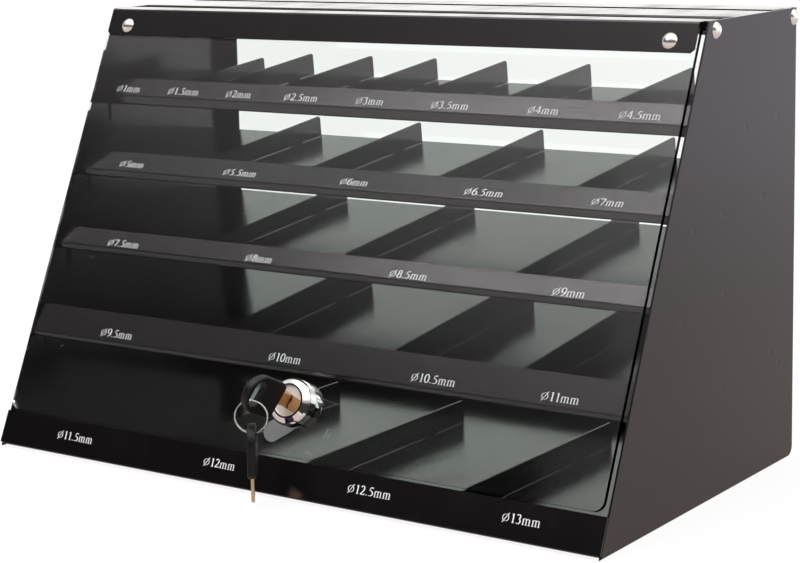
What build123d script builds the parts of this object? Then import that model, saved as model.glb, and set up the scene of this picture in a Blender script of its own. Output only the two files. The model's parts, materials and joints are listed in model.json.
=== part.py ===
"""Counter-top drill bit dispenser: five sloping tiers in a slant-fronted sheet steel case.

Millimetres. +Z is up, +Y points to the back, +X to the right as seen from the front, and the
origin is the middle of the footprint on the counter. Each sub-part is one STEP file in parts/.
"""
from build123d import *
import os
from math import atan2, cos, radians, sin, sqrt, tan

os.makedirs("parts", exist_ok=True)

# ---------------------------------------------------------------- driving dimensions
CASE_WIDTH = 430.0
CASE_DEPTH = 240.0
CASE_HEIGHT = 270.0
TOP_DEPTH = 115.0            # depth of the flat top, behind the slanted front
SHEET = 1.2                  # steel gauge of the case
DIVIDER_SHEET = 1.0          # thinner gauge of the dividers
INNER_BEND = 0.4             # inside radius of every fold
FOLD_ROUND = 0.95            # outside rounding of the side panels' rear fold

REAR_FLANGE = 13.0           # side panel's inward return at the back
BASE_FLANGE = 14.0           # side panel's inward return under the tray
CORNER_RADIUS = 6.0          # side panel's bottom rear corner

FLOOR_SLOPE = 5.8            # degrees, tiers slope down to the front
FLOOR_REAR_INSET = 15.0      # tier floors stop this far in front of the back
END_FLANGE = 12.0            # tier's down-turned ends, spot-welded to the sides

TRAY_PROUD = 1.8             # tray front's outer face, in front of the slanted plane
TRAY_RISE = 22.8             # height of the tray front along the slant
TRAY_BACK = 13.5             # top of the tray's turned-up back edge

LOW_DIVIDER_HEIGHT = 10.4    # the first divider of the top tier
BASE_GAP = 0.35              # slit of light under a divider, between its tabs
TAB_LENGTH = 12.0
TAB_SHARES = (0.25, 0.8)     # tabs along a divider, from the fold to its rear end
TAB_PLAY = 0.1               # slot's clearance round a tab
DIVIDER_PLAY = 0.4           # between a divider's front end and the lip

PANEL_THICKNESS = 3.0        # clear panels
PANEL_STANDOFF = 0.4         # clear panel's back face, off the case's edges
PANEL_EDGE_INSET = 3.0       # clear panel's side edge, inside the case's outer face
PANEL_CORNER = 6.0
PANEL_LIFT = 1.6             # gap between the door panel and the tray front
REAR_PANEL_LIFT = 9.0        # rear panel's bottom edge above the counter

RAIL_EDGE_INSET = 3.6        # rail's face end, inside the case's outer face
FRONT_RAIL_FACE = 20.0
REAR_RAIL_FACE = 18.0
FRONT_RAIL_TOP = 15.0
REAR_RAIL_TOP = 24.0
FRONT_SWING_GAP = 18.0       # slot between the front rail and the crossbar
REAR_SWING_GAP = 9.0         # slot between the crossbar and the rear rail
CROSSBAR_LIP = 8.0
RAIL_CHAMFER = 2.3
EAR_HEIGHT = 14.0
EAR_CLEARANCE = 0.6          # between a rail's ear and the side panel

PIVOT_DROP = 5.5             # hinge pins below the top edge
FRONT_PIVOT_SET = 8.0        # behind the top front corner
REAR_PIVOT_SET = 4.0         # in front of the back edge
PIN_RADIUS = 2.5
PIN_CLEARANCE = 0.06
PIN_END_PLAY = 0.3           # less play at the pin's tail than between the ear and the side panel
DOME_RADIUS = 4.7
DOME_HEIGHT = 2.6
TAIL_RADIUS = 3.9
TAIL_HEIGHT = 1.2
RIVET_RADIUS = 2.0
RIVET_EDGE = 19.5            # panel rivets in from the case's outer face
RIVET_RISE = 6.6             # panel rivets above the rail's lower edge

LOCK_X = 5.0                 # lock axis from the middle
LOCK_RISE = 55.4             # lock axis up the slant
BEZEL_RADIUS = 14.2
BEZEL_HEIGHT = 8.0
BEZEL_WALL = 5.0             # straight part of the bezel's side
BEZEL_STEP = 1.2             # set-back of the bezel's front part
BEZEL_SHOULDER = 6.4         # where the bezel's face starts to slope in
BEZEL_RIM = 1.2              # flat rim round the plug
BARREL_RADIUS = 9.4
BARREL_PLAY = 0.1            # round the barrel, in the door panel and in its nut
BARREL_FLAT = 8.2            # half width over the barrel's flats
BARREL_LENGTH = 16.5         # behind the door panel's outer face
PLUG_RADIUS = 7.4
PLUG_HEAD_RADIUS = 9.2
PLUG_HEAD = 2.0
PLUG_RECESS = 0.9
PLUG_CLEARANCE = 0.07
NUT_FLATS = 24.0
NUT_HEIGHT = 3.2
CAM_REACH = 34.0             # lock axis to the cam's tip
CAM_WIDTH = 13.0
CAM_THICKNESS = 1.8
CAM_ANGLE = 54.0             # cam's turn from straight down, towards -X
TAIL_SQUARE = 5.0            # plug's tail that carries the cam
SCREW_RADIUS = 1.5
SCREW_HEAD_RADIUS = 3.8
SCREW_HEAD_HEIGHT = 1.6

KEYWAY_TILT = 20.0           # keyway's turn, top towards +X
BLADE_WIDTH = 8.0
BLADE_THICKNESS = 1.8
BLADE_LENGTH = 15.0
BLADE_TANG = 7.0             # part of the blade moulded into the bow
BLADE_TIP = 2.6
CUT_DEPTH = 1.8
CUT_PITCH = 2.6
CUT_COUNT = 4
CUT_FLAT = 0.8
CUT_START = 0.8              # first cut from the tip's chamfer, in pitches
KEYWAY_PLAY = 0.15
BOW_STANDOFF = 9.0           # key 1's shoulder in front of the bezel
BOW_LENGTH = 30.0
BOW_WIDTH = 23.0
BOW_DROP = 2.6               # bow's middle below the blade's, across the key
BOW_THICKNESS = 5.0
BOW_EDGE = 1.2               # rounding of the moulded edges
BOW_SHOULDER = 3.5
BOW_SLOT = (9.0, 15.5)       # slot for the ring, along and across the key
SLOT_ROUND = 0.7             # rounding of the slot's edges
BOW_RIM = 3.8                # from the slot to the bow's round end
RING_RADIUS = 9.4            # middle of the ring's wire
RING_WIRE = 0.8              # wire radius
RING_YAW = 30.0              # how far the hanging ring has turned towards +X
KEY_2_YAW = 5.0              # key 2's further turn on the ring
HANG_GAP = 0.3               # between hanging pieces
RIM_RISE = 0.7               # tilt and curve of the slot's wall where the wire crosses it

# Tiers 1 (top) to 4: clear height of each step from the tray up, as shares of the case's height,
# then how each lip is folded. Tier 5 is the tray.
STEP_SHARES = {4: 64.9, 3: 53.0, 2: 45.1, 1: 43.9, 0: 63.1}
LIP_SETBACK = {1: 17.3, 2: 7.9, 3: 5.1, 4: 2.9}       # fold behind the slanted front
LIP_WALL = {1: 6.6, 2: 5.3, 3: 4.5, 4: 3.7}           # upright part under the label face
LABEL_FACE = {1: 13.2, 2: 15.5, 3: 12.9, 4: 19.2}     # label face, measured along it
LABEL_LEAN = {1: 38.6, 2: 49.0, 3: 43.4, 4: 32.0}     # degrees back from upright
FLANGE_SETBACK = {1: 3.0, 2: 9.5, 3: 10.5, 4: 12.0}   # end flange behind the fold
DIVIDER_HEIGHT = {1: 14.5, 2: 13.8, 3: 12.8, 4: 19.2, 5: 15.0}
DIVIDER_SETBACK = {1: 0.0, 2: 4.0, 3: 6.3, 4: 23.0, 5: 33.0}    # rear end in front of the floor's
LABEL_CORNER = 3.0
DIVIDER_CORNER = 2.0

# Compartment widths of each tier, as shares of the inside width, left to right.
COMPARTMENTS = {
    1: (47.0, 42.2, 49.1, 50.4, 52.7, 60.0, 69.3, 56.9),
    2: (96.8, 81.5, 91.5, 91.0, 66.8),
    3: (118.8, 100.5, 118.0, 90.3),
    4: (149.3, 123.0, 86.0, 69.3),
    5: (128.1, 97.7, 106.5, 95.3),
}

# ---------------------------------------------------------------- derived places
HALF_WIDTH = CASE_WIDTH / 2
INNER_HALF = HALF_WIDTH - SHEET
Y_FRONT = -CASE_DEPTH / 2
Y_REAR = CASE_DEPTH / 2
Y_TOP_FRONT = Y_REAR - TOP_DEPTH
Y_FLOOR_REAR = Y_REAR - FLOOR_REAR_INSET
Y_TRAY_BACK = Y_REAR - SHEET                      # the tray's back stands against the side panels' returns
SLANT = atan2(CASE_DEPTH - TOP_DEPTH, CASE_HEIGHT)
SLANT_LENGTH = sqrt(CASE_HEIGHT**2 + (CASE_DEPTH - TOP_DEPTH) ** 2)
OUTER_BEND = INNER_BEND + SHEET
SLOPE = tan(radians(FLOOR_SLOPE))

PANEL_OUT = PANEL_STANDOFF + PANEL_THICKNESS
RAIL_OUT = PANEL_OUT + SHEET
PANEL_HALF = HALF_WIDTH - PANEL_EDGE_INSET
RAIL_HALF = HALF_WIDTH - RAIL_EDGE_INSET
EAR_OUTER = INNER_HALF - EAR_CLEARANCE
PIVOT_Z = CASE_HEIGHT - PIVOT_DROP
FRONT_PIVOT_Y = Y_TOP_FRONT + FRONT_PIVOT_SET
REAR_PIVOT_Y = Y_REAR - REAR_PIVOT_SET
CROSSBAR_FRONT = Y_TOP_FRONT + FRONT_RAIL_TOP + FRONT_SWING_GAP
CROSSBAR_REAR = Y_REAR - REAR_RAIL_TOP - REAR_SWING_GAP
RAIL_RISE = SLANT_LENGTH - FRONT_RAIL_FACE        # front rail's lower edge
PANEL_RISE = TRAY_RISE + PANEL_LIFT               # door panel's lower edge
TRAY_FLOOR = 2 * SHEET                            # top face of the tray's floor

# local z points out of the case, local y up the slant
FRONT = Plane(origin=(0, Y_FRONT, 0), x_dir=(1, 0, 0), z_dir=(0, -cos(SLANT), sin(SLANT)))
BACK = Plane(origin=(0, Y_REAR, 0), x_dir=(-1, 0, 0), z_dir=(0, 1, 0))


def on_slant(rise, proud=0.0):
    """(y, z) of a point `rise` up the slanted front and `proud` in front of it."""
    y = Y_FRONT + rise * sin(SLANT) - proud * cos(SLANT)
    return y, rise * cos(SLANT) + proud * sin(SLANT)


def slant_at_height(z, proud=0.0):
    """(y, z) where the slanted front, moved out by `proud`, reaches height z."""
    return on_slant((z - proud * sin(SLANT)) / cos(SLANT), proud)


def offset_path(path, distance):
    """The path moved `distance` to the right of its direction, with mitred corners."""
    steps = [(Vector(*b) - Vector(*a)).normalized() for a, b in zip(path, path[1:])]
    normals = [Vector(step.Y, -step.X) for step in steps]
    before = normals[:1] + normals
    after = normals + normals[-1:]
    moved = []
    for point, one, two in zip(path, before, after):
        mitre = (one + two) * (distance / (1 + one.dot(two)))
        moved.append((point[0] + mitre.X, point[1] + mitre.Y))
    return moved


def folded_sheet(path, thickness=SHEET):
    """Add the section of a folded sheet: path is its outer face, and every fold turns right."""
    inside = offset_path(path, thickness)
    with BuildLine() as outline:
        Polyline(*path, *reversed(inside), close=True)
    make_face(outline.edges())
    for outer, inner in zip(path[1:-1], inside[1:-1]):
        fillet(vertices().sort_by_distance(outer)[0], INNER_BEND + thickness)
        fillet(vertices().sort_by_distance(inner)[0], INNER_BEND)


def headed_pin(place, head_radius, head_height, shank_radius, grip, tail_radius, tail_height):
    """Add a domed pin whose head sits on `place` and points along its z, with a flat tail."""
    section = Plane(origin=place.origin, x_dir=place.x_dir, z_dir=-place.y_dir)
    ball = (head_radius**2 + head_height**2) / (2 * head_height)
    half_angle = atan2(head_radius, ball - head_height) / 2
    crown = (ball * sin(half_angle), head_height - ball + ball * cos(half_angle))
    with BuildSketch(section) as half:
        with BuildLine():
            ThreePointArc((0, head_height), crown, (head_radius, 0))
            Polyline((head_radius, 0), (shank_radius, 0), (shank_radius, -grip), (tail_radius, -grip),
                     (tail_radius, -grip - tail_height), (0, -grip - tail_height), (0, head_height))
        make_face()
    revolve(half.sketch, axis=Axis(place.origin, place.z_dir))


def keep(builder, name):
    """Label a finished sub-part and write it as parts/name.step."""
    builder.part.label = name
    export_step(builder.part, f"parts/{name}.step")


def floor_height(tier, y):
    """Height of a tier's floor, top face, at y."""
    if tier == 5:
        return TRAY_FLOOR
    fold_y, fold_z = FOLDS[tier]
    return fold_z + SHEET / cos(radians(FLOOR_SLOPE)) + (y - fold_y) * SLOPE


def lip_path(tier):
    """Outer face of a tier's sheet: floor's underside from the back, the fold, and the lip."""
    if tier == 5:
        return [(Y_FLOOR_REAR, SHEET), slant_at_height(SHEET, TRAY_PROUD), on_slant(TRAY_RISE, TRAY_PROUD)]
    fold_y, fold_z = FOLDS[tier]
    rear = (Y_FLOOR_REAR, fold_z + (Y_FLOOR_REAR - fold_y) * SLOPE)
    label_foot = (fold_y, fold_z + LIP_WALL[tier])
    lean = radians(LABEL_LEAN[tier])
    label_top = (fold_y + LABEL_FACE[tier] * sin(lean), label_foot[1] + LABEL_FACE[tier] * cos(lean))
    return [rear, (fold_y, fold_z), label_foot, label_top]


def divider_rear(tier):
    """y of the rear end of a tier's dividers."""
    return Y_FLOOR_REAR - DIVIDER_SETBACK[tier]


def tab_places(tier):
    """y of the tabs that hold a tier's dividers."""
    front = lip_path(tier)[1][0]
    return [front + (divider_rear(tier) - front) * share for share in TAB_SHARES]


def divider_places(tier):
    """x of each divider of a tier, from its compartments' shares of the inside width."""
    shares = COMPARTMENTS[tier]
    return [INNER_HALF * (2 * sum(shares[:i]) / sum(shares) - 1) for i in range(1, len(shares))]


FOLDS = {}
fold_share = 0.0
for tier in (4, 3, 2, 1):
    fold_share = fold_share + STEP_SHARES[tier]
    fold_z = CASE_HEIGHT * fold_share / sum(STEP_SHARES.values())
    FOLDS[tier] = (slant_at_height(fold_z)[0] + LIP_SETBACK[tier], fold_z)

# ---------------------------------------------------------------- side panels
for name, side in (("left_side_panel", -1), ("right_side_panel", 1)):
    with BuildPart() as side_panel:
        with BuildSketch(Plane.YZ.offset(side * HALF_WIDTH)):
            with BuildLine():
                Polyline((Y_FRONT, 0), (Y_REAR, 0), (Y_REAR, CASE_HEIGHT), (Y_TOP_FRONT, CASE_HEIGHT),
                         close=True)
            make_face()
            fillet(vertices().sort_by_distance((Y_REAR, 0))[0], CORNER_RADIUS)
        extrude(amount=-side * SHEET)
        flange_foot = CORNER_RADIUS + 2 * SHEET
        flange_top = PIVOT_Z - REAR_RAIL_TOP       # under the sweep of the rear rail's top
        with BuildSketch(Plane.XY.offset(flange_foot)):
            with Locations((side * (HALF_WIDTH - REAR_FLANGE / 2), Y_REAR - SHEET / 2)):
                Rectangle(REAR_FLANGE, SHEET)
        extrude(amount=flange_top - flange_foot)
        with BuildSketch(Plane.XY):
            with Locations((side * (HALF_WIDTH - BASE_FLANGE / 2), 0)):
                Rectangle(BASE_FLANGE, CASE_DEPTH - 2 * (CORNER_RADIUS + SHEET))
        extrude(amount=SHEET)
        with BuildSketch(Plane.YZ.offset(side * HALF_WIDTH)):
            with Locations((FRONT_PIVOT_Y, PIVOT_Z), (REAR_PIVOT_Y, PIVOT_Z)):
                Circle(PIN_RADIUS)
        extrude(amount=-side * SHEET, mode=Mode.SUBTRACT)
        upright_edges = side_panel.edges().filter_by(Axis.Z)
        rear_corner = upright_edges.sort_by_distance((side * HALF_WIDTH, Y_REAR, CASE_HEIGHT / 2))[0]
        fillet(rear_corner, FOLD_ROUND)
    keep(side_panel, name)

# ---------------------------------------------------------------- crossbar
with BuildPart() as top_crossbar:
    with BuildSketch(Plane.YZ):
        folded_sheet([(CROSSBAR_FRONT, CASE_HEIGHT - CROSSBAR_LIP), (CROSSBAR_FRONT, CASE_HEIGHT),
                      (CROSSBAR_REAR, CASE_HEIGHT), (CROSSBAR_REAR, CASE_HEIGHT - CROSSBAR_LIP)])
    extrude(amount=INNER_HALF, both=True)
    crossbar_middle = (CROSSBAR_FRONT + CROSSBAR_REAR) / 2
    for side in (-1, 1):
        with BuildSketch(Plane.YZ.offset(side * INNER_HALF)):
            with Locations((crossbar_middle, CASE_HEIGHT - END_FLANGE / 2 - SHEET / 2)):
                Rectangle(CROSSBAR_REAR - CROSSBAR_FRONT - 4 * SHEET, END_FLANGE)
        extrude(amount=-side * SHEET)
keep(top_crossbar, "top_crossbar")

# ---------------------------------------------------------------- tiers
for tier in (1, 2, 3, 4, 5):
    path = lip_path(tier)
    if tier == 5:
        path = [(Y_TRAY_BACK, TRAY_BACK), (Y_TRAY_BACK, SHEET), *path[1:]]
    with BuildPart() as shelf:
        with BuildSketch(Plane.YZ):
            folded_sheet(path)
        extrude(amount=INNER_HALF, both=True)
        if tier == 5:
            # the tray's front runs over the side panels' front edges
            with BuildSketch(FRONT.offset(TRAY_PROUD - SHEET)):
                foot = (SHEET - TRAY_PROUD * sin(SLANT)) / cos(SLANT) + OUTER_BEND
                with Locations((0, (foot + TRAY_RISE) / 2)):
                    Rectangle(CASE_WIDTH, TRAY_RISE - foot)
            extrude(amount=SHEET)
        else:
            lip_ends = shelf.edges().filter_by(lambda e: abs(e.length - SHEET) < 0.01)
            fillet(lip_ends.group_by(Axis.Z)[-1], LABEL_CORNER)
            for side in (-1, 1):
                flange_front = path[1][0] + FLANGE_SETBACK[tier]
                with BuildSketch(Plane.YZ.offset(side * INNER_HALF)):
                    with BuildLine():
                        Polyline((flange_front, floor_height(tier, flange_front) - SHEET / 2),
                                 (Y_FLOOR_REAR - SHEET, floor_height(tier, Y_FLOOR_REAR - SHEET) - SHEET / 2),
                                 (Y_FLOOR_REAR - SHEET, floor_height(tier, Y_FLOOR_REAR) - END_FLANGE),
                                 (flange_front, floor_height(tier, flange_front) - END_FLANGE), close=True)
                    make_face()
                extrude(amount=-side * SHEET)
        with BuildSketch(Plane.XY):
            for x in divider_places(tier):
                with Locations(*[(x, y) for y in tab_places(tier)]):
                    Rectangle(DIVIDER_SHEET + 2 * TAB_PLAY, TAB_LENGTH + 2 * TAB_PLAY)
        extrude(amount=CASE_HEIGHT, mode=Mode.SUBTRACT)
    keep(shelf, f"shelf_{tier}")

# ---------------------------------------------------------------- dividers
for tier in (1, 2, 3, 4, 5):
    slope = 0.0 if tier == 5 else radians(FLOOR_SLOPE)
    lip_inside = offset_path(lip_path(tier), SHEET + DIVIDER_PLAY)[1:]
    for number, x in enumerate(divider_places(tier), start=1):
        height = LOW_DIVIDER_HEIGHT if (tier, number) == (1, 1) else DIVIDER_HEIGHT[tier]
        front = lip_inside[0][0]
        foot = floor_height(tier, front) + BASE_GAP
        rear_foot = (divider_rear(tier), floor_height(tier, divider_rear(tier)) + BASE_GAP)
        rise = height - BASE_GAP
        rear_top = (rear_foot[0] - rise * sin(slope), rear_foot[1] + rise * cos(slope))
        # the front end follows the inside of the lip up to the divider's top edge
        front_line = [(front, foot)]
        for low, high in zip(lip_inside, lip_inside[1:]):
            top_low = rear_top[1] + (low[0] - rear_top[0]) * tan(slope)
            top_high = rear_top[1] + (high[0] - rear_top[0]) * tan(slope)
            if high[1] < top_high:
                front_line.append(high)
            else:
                share = (top_low - low[1]) / (top_low - low[1] + high[1] - top_high)
                front_line.append((low[0] + (high[0] - low[0]) * share, low[1] + (high[1] - low[1]) * share))
                break
        with BuildPart() as divider:
            with BuildSketch(Plane.YZ.offset(x)):
                with BuildLine():
                    Polyline(*front_line, rear_top, rear_foot, close=True)
                make_face()
                fillet(vertices().sort_by_distance(rear_top)[0], DIVIDER_CORNER)
            extrude(amount=DIVIDER_SHEET / 2, both=True)
            for y in tab_places(tier):
                ends = (y - TAB_LENGTH / 2, y + TAB_LENGTH / 2)
                tab_foot = [(end, floor_height(tier, end) - SHEET) for end in ends]
                tab_top = [(end, floor_height(tier, end) + 2 * BASE_GAP) for end in reversed(ends)]
                with BuildSketch(Plane.YZ.offset(x)):
                    with BuildLine():
                        Polyline(*tab_foot, *tab_top, close=True)
                    make_face()
                extrude(amount=DIVIDER_SHEET / 2, both=True)
        keep(divider, f"divider_{tier}_{number}")

# ---------------------------------------------------------------- rails, clear panels and their pins
FRONT_CORNER = slant_at_height(CASE_HEIGHT, RAIL_OUT)
RAIL_PATHS = {
    "front": [on_slant(RAIL_RISE, RAIL_OUT), FRONT_CORNER, (Y_TOP_FRONT + FRONT_RAIL_TOP, CASE_HEIGHT)],
    "rear": [(Y_REAR - REAR_RAIL_TOP, CASE_HEIGHT), (Y_REAR + RAIL_OUT, CASE_HEIGHT),
             (Y_REAR + RAIL_OUT, CASE_HEIGHT - REAR_RAIL_FACE)],
}
RAIL_EARS = {
    "front": (Y_TOP_FRONT + SHEET, Y_TOP_FRONT + FRONT_RAIL_TOP),
    "rear": (Y_REAR - 2 * REAR_PIVOT_SET - DOME_RADIUS, Y_REAR - PANEL_STANDOFF),
}
PIVOT_Y = {"front": FRONT_PIVOT_Y, "rear": REAR_PIVOT_Y}
FACE_PLANE = {"front": FRONT, "rear": BACK}
FACE_FOOT = {"front": RAIL_RISE, "rear": CASE_HEIGHT - REAR_RAIL_FACE}
PANEL_FOOT = {"front": PANEL_RISE, "rear": REAR_PANEL_LIFT}
PANEL_TOP = {"front": SLANT_LENGTH - 2 * SHEET - 2 * INNER_BEND - PANEL_OUT * tan(SLANT),
             "rear": CASE_HEIGHT - 2 * SHEET - 2 * INNER_BEND}
RIVET_PLACES = {end: [(side * (HALF_WIDTH - RIVET_EDGE), FACE_FOOT[end] + RIVET_RISE) for side in (-1, 1)]
                for end in ("front", "rear")}

for end in ("front", "rear"):
    face_plane = FACE_PLANE[end]
    with BuildPart() as rail:
        with BuildSketch(Plane.YZ):
            folded_sheet(RAIL_PATHS[end])
        extrude(amount=RAIL_HALF, both=True)
        face_corners = rail.edges().filter_by(Axis(face_plane.origin, face_plane.z_dir)).group_by(Axis.Z)[0]
        chamfer(face_corners, RAIL_CHAMFER)
        ear_front, ear_rear = RAIL_EARS[end]
        for side in (-1, 1):
            with BuildSketch(Plane.YZ.offset(side * EAR_OUTER)):
                with Locations(((ear_front + ear_rear) / 2, CASE_HEIGHT - EAR_HEIGHT / 2)):
                    Rectangle(ear_rear - ear_front, EAR_HEIGHT)
                fillet(vertices().group_by(Axis.Y)[0], RAIL_CHAMFER)
            extrude(amount=-side * SHEET)
            with BuildSketch(Plane.XY.offset(CASE_HEIGHT)):
                with Locations((side * (RAIL_HALF + EAR_OUTER - SHEET) / 2, (ear_front + ear_rear) / 2)):
                    Rectangle(EAR_OUTER - RAIL_HALF + SHEET, ear_rear - ear_front)
            extrude(amount=-SHEET)
        with BuildSketch(Plane.YZ):
            with Locations((PIVOT_Y[end], PIVOT_Z)):
                Circle(PIN_RADIUS + PIN_CLEARANCE)
        extrude(amount=HALF_WIDTH, both=True, mode=Mode.SUBTRACT)
        with BuildSketch(face_plane.offset(PANEL_OUT)):
            with Locations(*RIVET_PLACES[end]):
                Circle(RIVET_RADIUS)
        extrude(amount=SHEET, mode=Mode.SUBTRACT)
    keep(rail, f"{end}_flap_rail")

    with BuildPart() as panel:
        with BuildSketch(face_plane.offset(PANEL_STANDOFF)):
            with Locations((0, (PANEL_FOOT[end] + PANEL_TOP[end]) / 2)):
                Rectangle(2 * PANEL_HALF, PANEL_TOP[end] - PANEL_FOOT[end])
            fillet(vertices().group_by(Axis.Y)[0], PANEL_CORNER)
            with Locations(*RIVET_PLACES[end]):
                Circle(RIVET_RADIUS, mode=Mode.SUBTRACT)
            if end == "front":
                with Locations((LOCK_X, LOCK_RISE)):
                    Circle(BARREL_RADIUS + BARREL_PLAY, mode=Mode.SUBTRACT)
        extrude(amount=PANEL_THICKNESS)
    keep(panel, f"{end}_clear_panel")

    with BuildPart() as rivets:
        for x, rise in RIVET_PLACES[end]:
            seat = face_plane.offset(RAIL_OUT)
            place = Plane(origin=seat.from_local_coords((x, rise, 0)), x_dir=seat.x_dir, z_dir=seat.z_dir)
            headed_pin(place, DOME_RADIUS, DOME_HEIGHT, RIVET_RADIUS, SHEET + PANEL_THICKNESS,
                       TAIL_RADIUS, PANEL_STANDOFF)
    keep(rivets, f"{end}_panel_rivets")

    with BuildPart() as hinge_pins:
        for side in (-1, 1):
            seat = Plane(origin=(side * HALF_WIDTH, PIVOT_Y[end], PIVOT_Z), x_dir=(0, side, 0),
                         z_dir=(side, 0, 0))
            headed_pin(seat, DOME_RADIUS, DOME_HEIGHT, PIN_RADIUS, 2 * (SHEET + EAR_CLEARANCE) - PIN_END_PLAY,
                       TAIL_RADIUS, TAIL_HEIGHT)
    keep(hinge_pins, f"{end}_hinge_pins")

# ---------------------------------------------------------------- lock
LOCK = Plane(origin=FRONT.offset(PANEL_OUT).from_local_coords((LOCK_X, LOCK_RISE, 0)),
             x_dir=FRONT.x_dir, z_dir=FRONT.z_dir)      # on the door panel's outer face, z outwards
LOCK_SECTION = Plane(origin=LOCK.origin, x_dir=LOCK.x_dir, z_dir=-LOCK.y_dir)
LOCK_AXIS = Axis(LOCK.origin, LOCK.z_dir)
KEYED = Plane(origin=LOCK.origin, x_dir=LOCK.x_dir.rotate(LOCK_AXIS, -KEYWAY_TILT), z_dir=LOCK.z_dir)

with BuildPart() as lock_body:
    with BuildSketch(LOCK_SECTION):
        with BuildLine():
            Polyline((PLUG_RADIUS + PLUG_CLEARANCE, -BARREL_LENGTH), (BARREL_RADIUS, -BARREL_LENGTH),
                     (BARREL_RADIUS, 0), (BEZEL_RADIUS, 0), (BEZEL_RADIUS, BEZEL_WALL),
                     (BEZEL_RADIUS - BEZEL_STEP, BEZEL_WALL), (BEZEL_RADIUS - BEZEL_STEP, BEZEL_SHOULDER),
                     (PLUG_HEAD_RADIUS + BEZEL_RIM, BEZEL_HEIGHT),
                     (PLUG_HEAD_RADIUS + PLUG_CLEARANCE, BEZEL_HEIGHT),
                     (PLUG_HEAD_RADIUS + PLUG_CLEARANCE, BEZEL_HEIGHT - PLUG_RECESS - PLUG_HEAD),
                     (PLUG_RADIUS + PLUG_CLEARANCE, BEZEL_HEIGHT - PLUG_RECESS - PLUG_HEAD), close=True)
        make_face()
    revolve(axis=LOCK_AXIS)
    with BuildSketch(LOCK):
        for side in (-1, 1):
            with Locations((side * (BARREL_FLAT + BARREL_RADIUS / 2), 0)):
                Rectangle(BARREL_RADIUS, 2 * BARREL_RADIUS)
    extrude(amount=-BARREL_LENGTH, mode=Mode.SUBTRACT)
keep(lock_body, "lock_body")

with BuildPart() as lock_nut:
    with BuildSketch(LOCK.offset(-PANEL_THICKNESS)):
        RegularPolygon(NUT_FLATS / 2, 6, major_radius=False)
        Circle(BARREL_RADIUS + BARREL_PLAY, mode=Mode.SUBTRACT)
    extrude(amount=-NUT_HEIGHT)
keep(lock_nut, "lock_nut")

PLUG_FACE = BEZEL_HEIGHT - PLUG_RECESS
with BuildPart() as lock_plug:
    with BuildSketch(KEYED.offset(PLUG_FACE)):
        Circle(PLUG_HEAD_RADIUS)
    extrude(amount=-PLUG_HEAD + PLUG_CLEARANCE)
    with BuildSketch(KEYED.offset(PLUG_FACE)):
        Circle(PLUG_RADIUS)
    extrude(amount=-PLUG_FACE - BARREL_LENGTH)
    with BuildSketch(KEYED.offset(PLUG_FACE)):
        Rectangle(BLADE_THICKNESS + 2 * KEYWAY_PLAY, BLADE_WIDTH + 2 * KEYWAY_PLAY)
    extrude(amount=-BLADE_LENGTH - KEYWAY_PLAY, mode=Mode.SUBTRACT)
    with BuildSketch(LOCK.offset(-BARREL_LENGTH)):
        Rectangle(TAIL_SQUARE, TAIL_SQUARE, rotation=-CAM_ANGLE)
        Circle(SCREW_RADIUS, mode=Mode.SUBTRACT)
    extrude(amount=-CAM_THICKNESS)
keep(lock_plug, "lock_plug")

CAM_PLANE = Plane(origin=LOCK.offset(-BARREL_LENGTH).origin, x_dir=LOCK.x_dir.rotate(LOCK_AXIS, -CAM_ANGLE),
                  z_dir=LOCK.z_dir)
with BuildPart() as lock_cam:
    with BuildSketch(CAM_PLANE):
        Circle(PLUG_RADIUS)
        with Locations((0, -(CAM_REACH - CAM_WIDTH / 2) / 2)):
            Rectangle(CAM_WIDTH, CAM_REACH - CAM_WIDTH / 2)
        with Locations((0, -CAM_REACH + CAM_WIDTH / 2)):
            Circle(CAM_WIDTH / 2)
        Rectangle(TAIL_SQUARE, TAIL_SQUARE, mode=Mode.SUBTRACT)
    extrude(amount=-CAM_THICKNESS)
keep(lock_cam, "lock_cam")

with BuildPart() as cam_screw:
    screw_seat = LOCK.offset(-BARREL_LENGTH - CAM_THICKNESS)
    with BuildSketch(screw_seat):
        Circle(SCREW_HEAD_RADIUS)
    extrude(amount=-SCREW_HEAD_HEIGHT)
    with BuildSketch(screw_seat):
        Circle(SCREW_RADIUS)
    extrude(amount=CAM_THICKNESS)
keep(cam_screw, "cam_screw")

# ---------------------------------------------------------------- keys and their ring
# a key's plane: origin at the bow's shoulder, x towards the bow's round end, y across the bow
KEY_1 = Plane(origin=KEYED.offset(BEZEL_HEIGHT + BOW_STANDOFF).origin, x_dir=KEYED.z_dir,
              z_dir=KEYED.z_dir.cross(KEYED.y_dir))
SLOT_MIDDLE = BOW_LENGTH - BOW_RIM - BOW_SLOT[0] / 2
SLOT_END = BOW_SLOT[0] / 2                                  # radius of the slot's ends
WIRE_SAG = RING_RADIUS - sqrt(RING_RADIUS**2 - (BOW_THICKNESS / 2) ** 2)

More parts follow.
